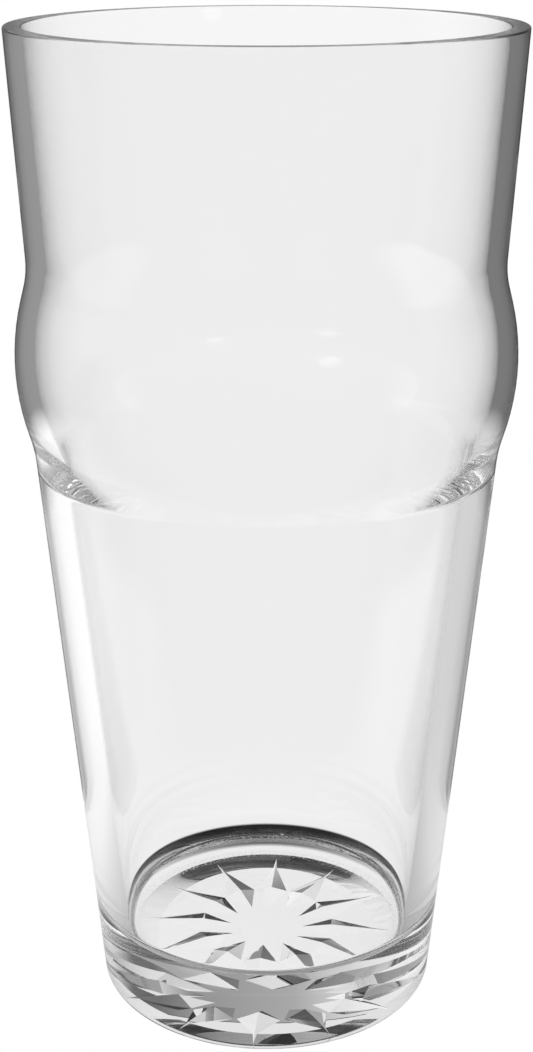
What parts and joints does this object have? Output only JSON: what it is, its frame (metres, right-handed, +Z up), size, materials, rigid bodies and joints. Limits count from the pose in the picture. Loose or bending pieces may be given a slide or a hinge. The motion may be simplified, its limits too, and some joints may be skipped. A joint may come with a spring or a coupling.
{
  "type": "pint glass",
  "caption": "Tall clear tumbler with a tapered wall, a bulge below the rim for grip and stacking, and a star cut in its thick base.",
  "frame": {"origin": "on the glass's axis, at the level of the flat ring that it stands on", "axes": "+Z up along the axis to the mouth; +X and +Y are level, and the round wall has no front"},
  "size_m": [0.0868, 0.0868, 0.1696],
  "materials": {
    "glass": "clear pressed soda-lime glass, fire polished, with very faint waviness"
  },
  "bodies": {
    "root": {"glass_body": "glass"}
  },
  "joints": []
}
